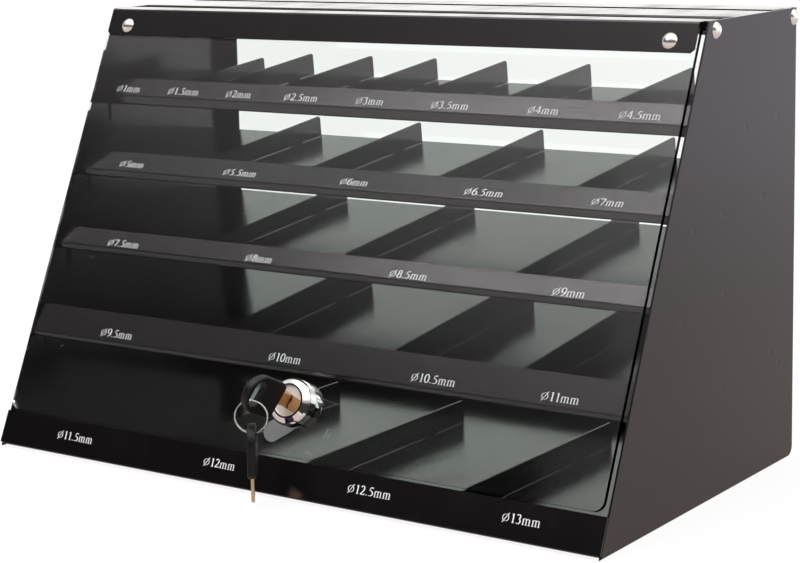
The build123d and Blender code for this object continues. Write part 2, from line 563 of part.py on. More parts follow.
# the ring hangs at the lowest point of key 1's slot, and key 2 at the bottom of the ring
downhill = Vector(-KEY_1.x_dir.Z, -KEY_1.y_dir.Z).normalized()
seat = KEY_1.from_local_coords((SLOT_MIDDLE + SLOT_END * downhill.X,
                                SLOT_END - BOW_SLOT[1] / 2 + SLOT_END * downhill.Y - BOW_DROP, 0))
lift = HANG_GAP + RING_WIRE + 2 * WIRE_SAG + RIM_RISE
RING_FACING = Vector(sin(radians(RING_YAW)), -cos(radians(RING_YAW)), 0)
RING = Plane(origin=seat + Vector(0, 0, lift - RING_RADIUS), x_dir=(0, 0, 1), z_dir=RING_FACING)
wall_height = RING.origin.Z - RING_RADIUS + RING_WIRE + WIRE_SAG + HANG_GAP
KEY_2_FACING = Vector(cos(radians(RING_YAW + KEY_2_YAW)), sin(radians(RING_YAW + KEY_2_YAW)), 0)
bow_foot = Plane(origin=(RING.origin.X, RING.origin.Y, wall_height - BOW_LENGTH + BOW_RIM), x_dir=(0, 0, 1),
                 z_dir=KEY_2_FACING)
KEY_2 = Plane(origin=bow_foot.from_local_coords((0, BOW_DROP, 0)), x_dir=bow_foot.x_dir, z_dir=KEY_2_FACING)

for number, key in ((1, KEY_1), (2, KEY_2)):
    with BuildPart() as bow:
        with BuildSketch(key):
            with Locations(((BOW_LENGTH - BOW_WIDTH / 2) / 2, -BOW_DROP)):
                Rectangle(BOW_LENGTH - BOW_WIDTH / 2, BOW_WIDTH)
            fillet(vertices().group_by(Axis.X)[0], BOW_SHOULDER)
            with Locations((BOW_LENGTH - BOW_WIDTH / 2, -BOW_DROP)):
                Circle(BOW_WIDTH / 2)
        extrude(amount=BOW_THICKNESS / 2, both=True)
        faces_across = bow.faces().filter_by(Axis(key.origin, key.z_dir))
        fillet(faces_across.edges(), BOW_EDGE)
        with BuildSketch(key):
            with Locations((SLOT_MIDDLE, -BOW_DROP)):
                SlotOverall(BOW_SLOT[1], BOW_SLOT[0], rotation=90)
        extrude(amount=BOW_THICKNESS, both=True, mode=Mode.SUBTRACT)
        bow_sides = bow.faces().filter_by(Axis(key.origin, key.z_dir))
        slot_wires = [wire for side in bow_sides for wire in side.inner_wires()]
        fillet([edge for wire in slot_wires for edge in wire.edges()], SLOT_ROUND)
        with BuildSketch(key):
            with Locations((BLADE_TANG / 2, 0)):
                Rectangle(BLADE_TANG, BLADE_WIDTH)
        extrude(amount=BLADE_THICKNESS / 2, both=True, mode=Mode.SUBTRACT)
    keep(bow, f"key_{number}_bow")

    with BuildPart() as blade:
        with BuildSketch(key):
            with Locations(((BLADE_TANG - BLADE_LENGTH) / 2, 0)):
                Rectangle(BLADE_TANG + BLADE_LENGTH, BLADE_WIDTH)
            chamfer(vertices().group_by(Axis.X)[0], BLADE_TIP)
            for cut in range(CUT_COUNT):
                cut_x = -BLADE_LENGTH + BLADE_TIP + CUT_PITCH * (cut + CUT_START)
                cut_foot = CUT_DEPTH - BLADE_WIDTH / 2
                with BuildLine():
                    Polyline((cut_x - CUT_DEPTH, -BLADE_WIDTH), (cut_x - CUT_FLAT / 2, cut_foot),
                             (cut_x + CUT_FLAT / 2, cut_foot), (cut_x + CUT_DEPTH, -BLADE_WIDTH), close=True)
                make_face(mode=Mode.SUBTRACT)
        extrude(amount=BLADE_THICKNESS / 2, both=True)
    keep(blade, f"key_{number}_blade")

with BuildPart() as key_ring:
    with BuildSketch(Plane(origin=RING.origin, x_dir=RING.x_dir, z_dir=-RING.y_dir)):
        with Locations((RING_RADIUS, 0)):
            Circle(RING_WIRE)
    revolve(axis=Axis(RING.origin, RING.z_dir))
keep(key_ring, "key_ring")
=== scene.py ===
"""Looks of the drill bit dispenser: finishes, printed sizes, split ring, studio and camera.

Metres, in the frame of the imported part: +Z up, +Y to the back, origin in the middle of the footprint.
"""
import json
import math

import bpy
from mathutils import Matrix, Vector
from mathutils.geometry import delaunay_2d_cdt


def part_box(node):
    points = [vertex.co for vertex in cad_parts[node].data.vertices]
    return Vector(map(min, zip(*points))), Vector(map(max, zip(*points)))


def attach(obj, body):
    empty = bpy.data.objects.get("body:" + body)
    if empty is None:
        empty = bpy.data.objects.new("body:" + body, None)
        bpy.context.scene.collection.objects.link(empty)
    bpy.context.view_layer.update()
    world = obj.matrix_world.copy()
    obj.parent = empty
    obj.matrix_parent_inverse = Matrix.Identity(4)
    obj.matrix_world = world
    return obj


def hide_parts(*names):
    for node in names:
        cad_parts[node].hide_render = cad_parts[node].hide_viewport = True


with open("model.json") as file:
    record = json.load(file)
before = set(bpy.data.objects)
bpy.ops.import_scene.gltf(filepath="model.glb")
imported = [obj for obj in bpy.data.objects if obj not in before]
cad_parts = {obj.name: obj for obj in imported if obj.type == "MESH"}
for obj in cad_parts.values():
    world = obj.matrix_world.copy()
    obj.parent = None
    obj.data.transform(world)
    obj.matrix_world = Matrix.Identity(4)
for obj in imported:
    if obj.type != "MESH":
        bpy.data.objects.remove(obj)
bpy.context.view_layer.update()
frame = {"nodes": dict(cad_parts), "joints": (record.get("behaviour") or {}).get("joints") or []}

MM = 0.001
JOINTS = {joint["name"]: joint for joint in frame["joints"]}
SHARP_EDGE = math.radians(35)          # edges that turn more than this stay sharp

# ---------------------------------------------------------------- camera
CAMERA_PLACE = (729.2 * MM, -1064.0 * MM, 357.2 * MM)
CAMERA_TURN = math.radians(37.61)      # to the left of straight back
CAMERA_DIP = math.radians(8.83)        # below level
CAMERA_ROLL = math.radians(-1.6)
CAMERA_LENS = 96.08                    # millimetres, on a sensor this wide:
CAMERA_SENSOR = 36.0
CAMERA_SHIFT = (0.17, -0.0981)
CAMERA_REACH = 200.0                   # past the far end of the floor

# ---------------------------------------------------------------- printed sizes
DIGIT_HEIGHT = 5.2 * MM
INK_THICKNESS = 0.03 * MM
INK_LIFT = 0.02 * MM                   # above the paint, so that the print never sinks into it
THICK_STROKE = 0.155                   # pen across an upright stroke, in digit heights
THIN_STROKE = 0.06                     # pen across a level stroke
CURVE_STEPS = 6                        # per quarter turn
SAME_POINT = 1e-6                      # a stroke whose ends are this near is a closed loop
MERGE_GAP = 1e-5                       # corners of crossing strokes this near become one

# x of each label's middle, left to right, and how far up the label face it stands
LABELS = {
    "shelf_1": (0.36, ((-196.2, "1"), (-149.5, "1.5"), (-104.3, "2"), (-55.2, "2.5"), (-3.4, "3"),
                       (53.8, "3.5"), (116.8, "4"), (178.1, "4.5"))),
    "shelf_2": (0.355, ((-171.0, "5"), (-82.7, "5.5"), (3.8, "6"), (93.9, "6.5"), (173.3, "7"))),
    "shelf_3": (0.265, ((-158.4, "7.5"), (-49.9, "8"), (58.3, "8.5"), (163.0, "9"))),
    "shelf_4": (0.27, ((-143.7, "9.5"), (-12.3, "10"), (91.4, "10.5"), (172.2, "11"))),
    "shelf_5": (0.55, ((-154.3, "11.5"), (-39.6, "12"), (67.6, "12.5"), (165.7, "13"))),
}
# what tells a label face from the rest of its sheet, by its normal
FACES_FRONT = -0.5                     # y below this
FACES_ASIDE = 0.01                     # x nearer to 0 than this
LEANS_BACK = 0.2                       # z above this

INK_TONES = (0.82, 0.94)
INK_WEAR = 1.2 * MM
INK_ROUGH = 0.5
INK_ROUGH_WORN = 0.1                   # what wear adds to it

# ---------------------------------------------------------------- powder-coated steel
COAT_TONES = ((0.0026, 0.0022, 0.0025, 1), (0.0056, 0.0046, 0.0048, 1))
COAT_SHEEN = (1.0, 0.92, 0.96, 1)      # tint of the reflections
COAT_CLOUDS = 90 * MM
COAT_SMEARS = 26 * MM
SMEAR_STRETCH = (1, 3, 1)              # smears are longer from front to back
SMEAR_FADE = (0.45, 0.75)              # noise levels over which a smear fades in
COAT_PEEL = 0.9 * MM                   # lumps of the orange peel
PEEL_HEIGHT = 0.012 * MM
COAT_ROUGH = 0.15
CLOUD_ROUGH = 0.05                     # what the clouds and the smears add to it
SMEAR_ROUGH = 0.07

# (y, z) of the spot welds that show as shallow dimples on the outside of the side panels
WELDS = (
    (51.5, 206.6), (93.7, 208.6), (-14.6, 157.3), (22.4, 161.9), (74.3, 164.1), (-27.5, 107.9),
    (24.6, 115.0), (-58.9, 54.5), (22.0, 61.2), (86.8, 69.7), (97.8, 62.1),
)
WELD_RADIUS = 3.2 * MM
WELD_FLAT = WELD_RADIUS * 0.2          # radius of the dimple's flat bottom
WELD_DEPTH = 0.12 * MM

# ---------------------------------------------------------------- clear sheet
SHEET_COLOUR = (0.978, 1.0, 0.986, 1)
SHEET_SHADE = (0.94, 0.96, 0.95, 1)    # what the sheet leaves of the lamps' light
SHEET_IOR = 1.49
WIPE_MARKS = 35 * MM
WIPE_FADE = (0.4, 0.8)
WIPE_GLOSS = 0.03
WIPE_ROUGH = 0.15

# ---------------------------------------------------------------- metals
# colour, roughness, what the handling marks add to it, and the size of the marks
METALS = {
    "bright_rivet": ((0.96, 0.90, 0.83), 0.26, 0.05, 6 * MM),
    "nut_plate": ((0.72, 0.72, 0.70), 0.16, 0.05, 6 * MM),
    "cam_zinc": ((0.64, 0.65, 0.64), 0.28, 0.12, 6 * MM),
    "key_brass": ((0.80, 0.56, 0.36), 0.22, 0.14, 1.2 * MM),
    "ring_nickel": ((0.80, 0.78, 0.75), 0.10, 0.05, 2 * MM),
}
METAL_DULLED = 0.9                     # tone in the marks, as a share of the bare metal's
MARK_HEIGHT = 0.01 * MM
MARK_STRENGTH = 0.4
MARK_DETAIL = 4.0

CHROME_COLOUR = (0.88, 0.87, 0.85, 1)
CHROME_ROUGH = 0.05
CHROME_WEAR = 0.05
CHROME_MARKS = 4 * MM
TURNING_PITCH = 0.5 * MM               # from one ring of the turning to the next
TURNING_HEIGHT = 0.002 * MM
TURNING_STRENGTH = 0.5

# ---------------------------------------------------------------- lock's plug and keys
KEYWAY_TILT = math.radians(20)         # keyway's turn, top to the right
BRASS_HALF = 4.3 * MM                  # half the height of the plug's brass middle
BRASS_FADE = (0.3 * MM, 0.1 * MM)      # how far inside and outside that edge the brass fades
# the keyway's slit is not cut into the face: it is painted shade, a dark winding line beside the blade
SLIT_ASIDE = 1.3 * MM                  # from the blade to the slit beside it
SLIT_SWAY = 0.45 * MM
SLIT_WAVE = 5.0 * MM
SLIT_HALF = 0.42 * MM
SLIT_FADE = (SLIT_HALF * 0.6, SLIT_HALF * 1.3)
SLIT_PAINTED_SHADE = 0.01
PLATE_TONES = ((0.83, 0.75, 0.66, 1), (0.92, 0.84, 0.76, 1))
BRASS_TONES = ((0.50, 0.28, 0.12, 1), (0.66, 0.38, 0.18, 1))
PLUG_MARKS = 3 * MM
PLUG_METALLIC = 0.45
PLUG_ROUGH = 0.34
PLUG_WEAR = 0.05

BOW_TONES = ((0.003, 0.003, 0.003, 1), (0.006, 0.005, 0.005, 1))
BOW_GRAIN = 0.35 * MM
BOW_GRAIN_HEIGHT = 0.015 * MM
BOW_GRAIN_STRENGTH = 0.6
BOW_RUB = 7 * MM
BOW_ROUGH = 0.34
BOW_RUBBED = 0.16                      # what rubbing adds to the roughness
BOW_SPECULAR = 0.3

# ---------------------------------------------------------------- split ring
RING_TURNS = 2
RING_WIRE = 0.42 * MM                  # wire radius of each turn
RING_INSET = RING_WIRE * 1.9           # from the solid ring's outer edge to the wire's middle
RING_STEPS = 48                        # per turn
WIRE_ROUNDNESS = 3

# ---------------------------------------------------------------- studio
# A pair is where a light starts and where it is full, along one axis of the way looked in (-1 to 1).
WALL_BAND = (-0.25, 0.15)              # y: white wall, from beside the object to behind it
WALL_LIGHT = 1.8
WALL_DIM_BAND = (0.08, 0.24)           # z: the wall dims with height
WALL_DIM = 0.95
ROOF_EDGE_BAND = (0.44, 0.54)          # z
ROOF_EDGE_LIGHT = 0.33
ROOF_BAND = (0.50, 0.74)               # z
ROOF_LIGHT = 0.35
ROOF_RIGHT_BAND = (-0.75, -0.40)       # x: the roof is brighter but for its far left
ROOF_RIGHT_LIGHT = 0.95
FILL_LIGHT = 0.04
FRONT_TINT = (1.0, 0.93, 0.96, 1)
WALL_TINTS = ((1.0, 0.97, 0.95, 1), (0.93, 1.0, 0.955, 1))
WALL_TINT_BAND = (0.10, 0.25)          # z

FLOOR_REACH = 40.0                     # from its middle to each side
FLOOR_TONES = (0.86, 0.9)
FLOOR_FLECK = 40 * MM
# the floor as reflections see it: painted shade, dark and warm near the object, and a pale bluish glow away
# from it
FLOOR_REFLECTED_SHADE_TONES = ((0.54, 0.46, 0.42, 1), (0.92, 0.88, 0.98, 1))   # near the object and away from it
FLOOR_REFLECTED_SHADE_BAND = (0.15, 2.3)        # metres from the middle
FLOOR_GLOW = 1.02
FLOOR_GLOW_SHARE = 0.86                # the rest takes the object's shadow

SOFTBOX_AIM = (0, 0, 0.1)
# place, size and watts
SOFTBOXES = {
    "softbox_high": ((-0.55, -0.75, 2.1), (1.4, 1.0), 14),
    "softbox_right": ((2.2, 0.4, 1.3), (1.2, 1.2), 10),
}


class Wire:
    """A socket of a node tree. Arithmetic on it adds the Math nodes."""

    def __init__(self, paint, socket):
        self.paint = paint
        self.socket = socket

    def math(self, operation, *others):
        return self.paint.math(operation, self, *others)

    def __add__(self, other):
        return self.paint.math("ADD", self, other)

    def __radd__(self, other):
        return self.paint.math("ADD", other, self)

    def __sub__(self, other):
        return self.paint.math("SUBTRACT", self, other)

    def __rsub__(self, other):
        return self.paint.math("SUBTRACT", other, self)

    def __mul__(self, other):
        return self.paint.math("MULTIPLY", self, other)

    def __rmul__(self, other):
        return self.paint.math("MULTIPLY", other, self)

    def step_up(self, low, high):
        """0 below low, 1 above high and smooth between."""
        sockets = {"Value": self, "From Min": low, "From Max": high}
        return self.paint.node("ShaderNodeMapRange", {"interpolation_type": "SMOOTHSTEP"}, sockets)

    def wave(self, length):
        """A sine of this value, from -1 to 1, that repeats every length."""
        return (self * (2 * math.pi / length)).math("SINE")


class Paint:
    """The nodes of one material or of the world."""

    def __init__(self, owner):
        owner.use_nodes = True
        self.owner = owner
        self.tree = owner.node_tree
        self.tree.nodes.clear()

    def node(self, kind, settings=None, inputs=None, output=0):
        """A node: its settings first, then the values or links of its sockets. Gives one output."""
        made = self.tree.nodes.new(kind)
        for name, value in (settings or {}).items():
            setattr(made, name, value)
        for name, value in (inputs or {}).items():
            if isinstance(value, Wire):
                self.tree.links.new(value.socket, made.inputs[name])
            else:
                made.inputs[name].default_value = value
        return Wire(self, made.outputs[output]) if made.outputs else None

    def math(self, operation, *values):
        return self.node("ShaderNodeMath", {"operation": operation}, dict(enumerate(values)))

    def vector(self, operation, *values, output=0):
        return self.node("ShaderNodeVectorMath", {"operation": operation}, dict(enumerate(values)), output)

    def mix(self, factor, first, second):
        """Colours mixed by factor: sockets 6 and 7 are the node's colour inputs, and output 2 its colour."""
        return self.node("ShaderNodeMix", {"data_type": "RGBA"}, {0: factor, 6: first, 7: second}, 2)

    def place(self):
        """Where a point is in the part's frame, whatever the pose."""
        return self.node("ShaderNodeTexCoord", output="Object")

    def axis(self, letter, vector):
        return self.node("ShaderNodeSeparateXYZ", {}, {0: vector}, letter)

    def noise(self, size, detail=2.0, stretch=(1, 1, 1)):
        """Cloudy noise from 0 to 1 whose lumps measure about size, stretched along an axis."""
        spot = self.vector("MULTIPLY", self.place(), tuple(1 / (size * s) for s in stretch))
        return self.node("ShaderNodeTexNoise", {}, {"Vector": spot, "Scale": 1.0, "Detail": detail}, "Fac")

    def bump(self, height, depth, strength=1.0):
        """A Normal from a height of 0 to 1, where 1 stands depth metres proud."""
        return self.node("ShaderNodeBump", {}, {"Height": height, "Distance": depth, "Strength": strength})

    def ray(self, kind):
        """1 for rays of this kind and 0 for the rest."""
        return self.node("ShaderNodeLightPath", output=f"Is {kind} Ray")

    def blend(self, factor, first, second):
        """Shaders mixed by factor."""
        return self.node("ShaderNodeMixShader", {}, {0: factor, 1: first, 2: second})

    def principled(self, **sockets):
        named = {name.replace("_", " "): value for name, value in sockets.items()}
        return self.node("ShaderNodeBsdfPrincipled", {}, named)

    def surface(self, shader):
        """Ends the tree with this shader and gives the material or world."""
        kind = "World" if isinstance(self.owner, bpy.types.World) else "Material"
        self.node("ShaderNodeOutput" + kind, {}, {"Surface": shader})
        return self.owner


def new_paint(name):
    return Paint(bpy.data.materials.new(name))


def grey(level):
    return (level, level, level, 1)


# ---------------------------------------------------------------- finishes
def powder_coat(name, marks=None):
    """Black semi-gloss powder coat: fine orange peel, faint clouds in tone and gloss."""
    paint = new_paint(name)
    clouds = paint.noise(COAT_CLOUDS, 3.0)
    peel = paint.noise(COAT_PEEL)
    smears = paint.noise(COAT_SMEARS, 4.0, SMEAR_STRETCH).step_up(*SMEAR_FADE)
    height = peel * PEEL_HEIGHT
    if marks:
        height = height + marks(paint)
    return paint.surface(paint.principled(
        Base_Color=paint.mix(clouds, *COAT_TONES),
        Roughness=COAT_ROUGH + CLOUD_ROUGH * clouds + SMEAR_ROUGH * smears,
        Specular_Tint=COAT_SHEEN,
        Normal=paint.bump(height, 1.0)))


def weld_marks(paint):
    """Shallow round dimples at the spot welds, as a height in metres."""
    beside = paint.vector("MULTIPLY", paint.place(), (0, 1, 1))
    depth = 0.0
    for y, z in WELDS:
        away = paint.vector("DISTANCE", beside, (0, y * MM, z * MM), output="Value")
        depth = depth + (1 - away.step_up(WELD_FLAT, WELD_RADIUS))
    return depth * -WELD_DEPTH


def clear_sheet():
    """Polished clear acrylic, a trace of green, which lets lamps through."""
    paint = new_paint("clear_acrylic")
    wiped = paint.noise(WIPE_MARKS, 3.0).step_up(*WIPE_FADE)
    sheet = paint.principled(Base_Color=SHEET_COLOUR, Roughness=0.0, IOR=SHEET_IOR, Transmission_Weight=1.0,
                             Coat_Weight=WIPE_GLOSS * wiped, Coat_Roughness=WIPE_ROUGH)
    open_air = paint.node("ShaderNodeBsdfTransparent", {}, {"Color": SHEET_SHADE})
    return paint.surface(paint.blend(paint.ray("Shadow"), sheet, open_air))


def metal(name):
    """Bare metal with fine handling marks."""
    colour, rough, wear, size = METALS[name]
    paint = new_paint(name)
    marks = paint.noise(size, MARK_DETAIL)
    dulled = tuple(c * METAL_DULLED for c in colour)
    return paint.surface(paint.principled(
        Base_Color=paint.mix(marks, (*dulled, 1), (*colour, 1)),
        Metallic=1.0,
        Roughness=rough + wear * marks,
        Normal=paint.bump(marks, MARK_HEIGHT, MARK_STRENGTH)))


def turned_chrome(centre):
    """Polished chrome with faint rings from turning round the lock's axis."""
    paint = new_paint("lock_chrome")
    away = paint.vector("DISTANCE", paint.place(), tuple(centre), output="Value")
    rings = away.wave(TURNING_PITCH) * 0.5 + 0.5
    marks = paint.noise(CHROME_MARKS, MARK_DETAIL)
    return paint.surface(paint.principled(
        Base_Color=CHROME_COLOUR,
        Metallic=1.0,
        Roughness=CHROME_ROUGH + CHROME_WEAR * marks,
        Normal=paint.bump(rings, TURNING_HEIGHT, TURNING_STRENGTH)))


def plug_face(centre):
    """Nickel plate with a brass middle, and the winding slit of the keyway beside the blade painted on as a
    dark line of shade, not cut.
    """
    paint = new_paint("plug_face")
    spot = paint.vector("SUBTRACT", paint.place(), tuple(centre))
    out = Vector(JOINTS["lock_turn"]["axis"]).normalized()
    level = Vector((1, 0, 0))
    tilt = Matrix.Rotation(-KEYWAY_TILT, 3, out)
    along = paint.vector("DOT_PRODUCT", spot, tuple(tilt @ out.cross(level)), output="Value")
    across = paint.vector("DOT_PRODUCT", spot, tuple(tilt @ level), output="Value")
    fade_in, fade_out = BRASS_FADE
    inside = 1 - along.math("ABSOLUTE").step_up(BRASS_HALF - fade_in, BRASS_HALF + fade_out)
    winding = along.wave(SLIT_WAVE) * SLIT_SWAY + SLIT_ASIDE
    # painted shade where the keyway's gap would be dark
    painted_slit_shade = (1 - (across - winding).math("ABSOLUTE").step_up(*SLIT_FADE)) * inside
    marks = paint.noise(PLUG_MARKS, MARK_DETAIL)
    metals = paint.mix(inside, paint.mix(marks, *PLATE_TONES), paint.mix(marks, *BRASS_TONES))
    return paint.surface(paint.principled(
        Base_Color=paint.mix(painted_slit_shade, metals, grey(SLIT_PAINTED_SHADE)),
        Metallic=PLUG_METALLIC,
        Roughness=PLUG_ROUGH + PLUG_WEAR * marks,
        Normal=paint.bump(marks, MARK_HEIGHT, MARK_STRENGTH)))


def moulded_plastic():
    """Satin black plastic of the key bows."""
    paint = new_paint("key_moulding")
    grain = paint.noise(BOW_GRAIN)
    rub = paint.noise(BOW_RUB, 3.0)
    return paint.surface(paint.principled(
        Base_Color=paint.mix(rub, *BOW_TONES),
        Roughness=BOW_ROUGH + BOW_RUBBED * rub,
        Specular_IOR_Level=BOW_SPECULAR,
        Normal=paint.bump(grain, BOW_GRAIN_HEIGHT, BOW_GRAIN_STRENGTH)))


def print_ink():
    """White screen print, slightly uneven."""
    paint = new_paint("white_print")
    wear = paint.noise(INK_WEAR, 3.0)
    worn, fresh = INK_TONES
    tone = paint.mix(wear, grey(worn), grey(fresh))
    return paint.surface(paint.principled(Base_Color=tone, Roughness=INK_ROUGH + INK_ROUGH_WORN * wear))


# ---------------------------------------------------------------- meshes
def add_piece(name, mesh, material, body, smooth=True):
    for polygon in mesh.polygons:
        polygon.use_smooth = smooth
    mesh.materials.clear()
    mesh.materials.append(material)
    piece = bpy.data.objects.new(name, mesh)
    bpy.context.scene.collection.objects.link(piece)
    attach(piece, body)
    return piece


def arc(centre_x, centre_y, radius_x, radius_y, start, end):
    """Points on an ellipse from start to end degrees, 0 to the right and 90 at the top."""
    count = max(2, round(abs(end - start) / 90 * CURVE_STEPS))
    turns = [math.radians(start + (end - start) * i / count) for i in range(count + 1)]
    return [(centre_x + radius_x * math.cos(t), centre_y + radius_y * math.sin(t)) for t in turns]


def foot(x, half=0.15, height=0.025):
    """The serif under an upright stroke."""
    return [(x - half, height), (x + half, height)], 0.8


def glyphs():
    """Serif numerals as pen strokes in digit heights: name -> (advance, [(points, pen scale), ...])."""
    six = [
        arc(0.60, 0.42, 0.50, 0.56, 95, 180) + arc(0.35, 0.31, 0.25, 0.30, 180, 360),
        arc(0.35, 0.31, 0.25, 0.30, 0, 180),
    ]
    nine = [[(0.70 - x, 1 - y) for x, y in stroke] for stroke in six]
    legs = (0.16, 0.52, 0.88)
    stems = [([(x, 0.03), (x, 0.60)], 0.8) for x in legs]
    arches = [(arc(x + 0.19, 0.50, 0.17, 0.155, 170, 0), 0.8) for x in legs[:2]]
    feet = [foot(x, 0.13, 0.02) for x in legs]
    return {
        "0": (0.72, [(arc(0.35, 0.5, 0.25, 0.48, 0, 360), 1)]),
        "1": (0.66, [([(0.35, 0.03), (0.35, 0.96)], 1), ([(0.17, 0.86), (0.35, 0.96)], 0.7), foot(0.35)]),
        "2": (0.72, [(arc(0.33, 0.71, 0.20, 0.27, 160, -10) + [(0.46, 0.48), (0.10, 0.06)], 1),
                     ([(0.08, 0.06), (0.58, 0.06)], 1.7), ([(0.57, 0.06), (0.62, 0.20)], 0.5)]),
        "3": (0.72, [(arc(0.30, 0.76, 0.19, 0.22, 155, -70), 1), (arc(0.28, 0.28, 0.25, 0.27, 80, -130), 1),
                     ([(0.10, 0.10), (0.15, 0.07)], 1)]),
        "4": (0.74, [([(0.46, 0.03), (0.46, 0.96)], 0.9), ([(0.44, 0.96), (0.06, 0.32)], 0.6),
                     ([(0.04, 0.30), (0.66, 0.30)], 1.4)]),
        "5": (0.72, [([(0.24, 0.92), (0.60, 0.92)], 1.7), ([(0.24, 0.93), (0.15, 0.57)], 0.5),
                     ([(0.15, 0.57)] + arc(0.27, 0.31, 0.28, 0.28, 85, -120), 1),
                     ([(0.09, 0.08), (0.14, 0.06)], 1)]),
        "6": (0.72, [(stroke, 1) for stroke in six]),
        "7": (0.70, [([(0.10, 0.91), (0.62, 0.91)], 1.7), ([(0.60, 0.90), (0.28, 0.02)], 0.8),
                     ([(0.11, 0.91), (0.06, 0.76)], 0.5)]),
        "8": (0.72, [(arc(0.35, 0.75, 0.19, 0.22, 0, 360), 1), (arc(0.35, 0.27, 0.24, 0.26, 0, 360), 1)]),
        "9": (0.72, [(stroke, 1) for stroke in nine]),
        ".": (0.36, [(arc(0.15, 0.06, 0.02, 0.02, 0, 360), 1)]),
        "m": (1.12, stems + arches + feet + [([(0.06, 0.60), (0.16, 0.62)], 0.7)]),
        "diameter": (0.98, [(arc(0.44, 0.44, 0.36, 0.36, 0, 360), 0.62),
                            ([(0.10, -0.08), (0.80, 0.98)], 0.6)]),
    }


def pen_outline(points, scale):
    """Outline of a broad pen's stroke: thick where it runs up and down, thin where it runs level."""
    closed = math.dist(points[0], points[-1]) < SAME_POINT
    wide, thin = THICK_STROKE * scale / 2, THIN_STROKE * scale / 2
    left, right = [], []
    for i, (x, y) in enumerate(points):
        before = points[i - 1] if i else (points[-2] if closed else points[0])
        after = points[i + 1] if i + 1 < len(points) else (points[1] if closed else points[-1])
        run = Vector((after[0] - before[0], after[1] - before[1])).normalized()
        across = Vector((-run.y, run.x))
        reach = math.hypot(wide * across.x, thin * across.y)
        offset = Vector((wide * wide * across.x / reach, thin * thin * across.y / reach))
        left.append(Vector((x, y)) + offset)
        right.append(Vector((x, y)) - offset)
    return left, right


def glyph_faces(strokes):
    """The union of a glyph's strokes as flat triangles: (points, triangles)."""
    points, faces = [], []
    for path, scale in strokes:
        left, right = pen_outline(path, scale)
        for i in range(len(left) - 1):
            quad = [left[i], left[i + 1], right[i + 1], right[i]]
            area = sum(a.cross(b) for a, b in zip(quad, quad[1:] + quad[:1]))
            faces.append(list(range(len(points), len(points) + 4)))
            points.extend(quad if area > 0 else reversed(quad))
    flat, _, triangles, _, _, owners = delaunay_2d_cdt(points, [], faces, 0, MERGE_GAP)
    inked = [t for t, owner in zip(triangles, owners) if owner]
    used = sorted({i for t in inked for i in t})
    order = {old: new for new, old in enumerate(used)}
    return [flat[i] for i in used], [[order[i] for i in t] for t in inked]


GLYPHS = {name: (advance, glyph_faces(strokes)) for name, (advance, strokes) in glyphs().items()}


def label_mesh(name, text):
    """A printed size such as a diameter sign, 5.5 and mm, centred on its own origin, as a thin solid."""
    points, triangles = [], []
    pen = 0.0
    for sign in ["diameter", *text, "m", "m"]:
        advance, (corners, faces) = GLYPHS[sign]
        triangles += [tuple(len(points) + i for i in face) for face in faces]
        points += [(pen + corner.x, corner.y) for corner in corners]
        pen = pen + advance
    count = len(points)
    solid = [((x - pen / 2) * DIGIT_HEIGHT, y * DIGIT_HEIGHT, z) for z in (0, INK_THICKNESS) for x, y in points]
    under = [(c, b, a) for a, b, c in triangles]
    over = [(a + count, b + count, c + count) for a, b, c in triangles]
    edges = [edge for a, b, c in triangles for edge in ((a, b), (b, c), (c, a))]
    shared = set(edges)
    rim = [(a, b, b + count, a + count) for a, b in edges if (b, a) not in shared]
    mesh = bpy.data.meshes.new(name)
    mesh.from_pydata(solid, [], under + over + rim)
    return mesh


def label_face(node):
    """(low, up, out, height) of a tier's label face: a low corner, the way up it, its normal and height."""
    mesh = frame["nodes"][node].data
    leaning = [p for p in mesh.polygons if p.normal.y < FACES_FRONT and abs(p.normal.x) < FACES_ASIDE]
    groups = {}
    for polygon in leaning:
        groups.setdefault((round(polygon.normal.y, 2), round(polygon.normal.z, 2)), []).append(polygon)
    tilted = [group for (_, z), group in groups.items() if z > LEANS_BACK]
    face = max(tilted, key=lambda group: sum(p.area for p in group))
    out = face[0].normal.copy()
    up = Vector((0, out.z, -out.y))
    corners = [mesh.vertices[i].co for p in face for i in p.vertices]
    low = min(corners, key=lambda corner: corner.dot(up))
    high = max(corners, key=lambda corner: corner.dot(up))
    return low, up, out, (high - low).dot(up)


def print_labels(ink):
    for node, (rise, labels) in LABELS.items():
        low, up, out, height = label_face(node)
        for x, text in labels:
            name = "size_" + text.replace(".", "_") + "_mm"
            base = Vector((x * MM, low.y, low.z)) + up * (height * rise - DIGIT_HEIGHT / 2) + out * INK_LIFT
            mesh = label_mesh(name, text)
            mesh.transform(Matrix((
                (1, 0, 0, base.x),
                (0, up.y, out.y, base.y),
                (0, up.z, out.z, base.z),
                (0, 0, 0, 1),
            )))
            add_piece(name, mesh, ink, "case", smooth=False)


def split_ring(material):
    """The key ring: a wire wound twice round, with one end on each face of the pair of turns."""
    low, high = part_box("key_ring")
    centre = (low + high) / 2
    facing = Vector(JOINTS["ring_swing"]["axis"]).normalized()
    radius = (high.z - low.z) / 2 - RING_INSET
    upward = Vector((0, 0, 1))
    across = facing.cross(upward).normalized()
    curve = bpy.data.curves.new("split_ring", "CURVE")
    curve.dimensions = "3D"
    curve.bevel_depth = RING_WIRE
    curve.bevel_resolution = WIRE_ROUNDNESS
    curve.use_fill_caps = True
    spline = curve.splines.new("POLY")
    spline.points.add(RING_TURNS * RING_STEPS)
    for i, point in enumerate(spline.points):
        turn = 2 * math.pi * i / RING_STEPS
        side = RING_WIRE * (2 * i / (RING_TURNS * RING_STEPS) - 1)
        spot = centre + (across * math.cos(turn) + upward * math.sin(turn)) * radius + facing * side
        point.co = (*spot, 1)
    holder = bpy.data.objects.new("split_ring_line", curve)
    bpy.context.scene.collection.objects.link(holder)
    mesh = bpy.data.meshes.new_from_object(holder.evaluated_get(bpy.context.evaluated_depsgraph_get()))
    bpy.data.objects.remove(holder)
    ring = add_piece("split_ring", mesh, material, "ring")
    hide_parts("key_ring")


